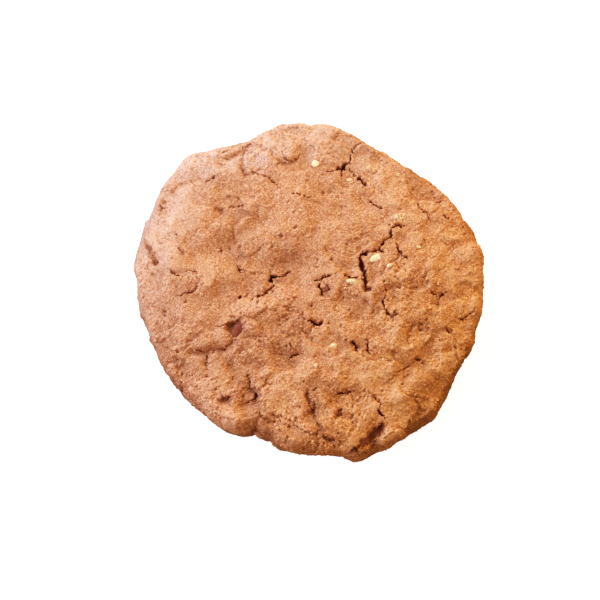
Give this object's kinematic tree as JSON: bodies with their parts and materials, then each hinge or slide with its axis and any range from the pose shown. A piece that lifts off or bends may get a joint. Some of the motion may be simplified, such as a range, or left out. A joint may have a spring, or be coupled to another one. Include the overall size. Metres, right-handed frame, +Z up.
{
  "type": "cookie",
  "caption": "Thick round hand-shaped drop cookie with a cracked, craggy crust, small pale chips and bits of chocolate baked in, and a flat base.",
  "frame": {"origin": "on the table under the middle of the cookie, the centre of the bounding box's bottom", "axes": "+Z up out of the crust, +X to the viewer's right, +Y away from the viewer"},
  "size_m": [0.0748, 0.0731, 0.0152],
  "materials": {
    "crumb": "baked sandy crumb, matte, darker in the cracks",
    "pale_chip": "pale buttery chip, slightly waxy",
    "chocolate": "melted and set dark chocolate, soft gloss"
  },
  "bodies": {
    "root": {"cookie": "crumb"}
  },
  "joints": []
}
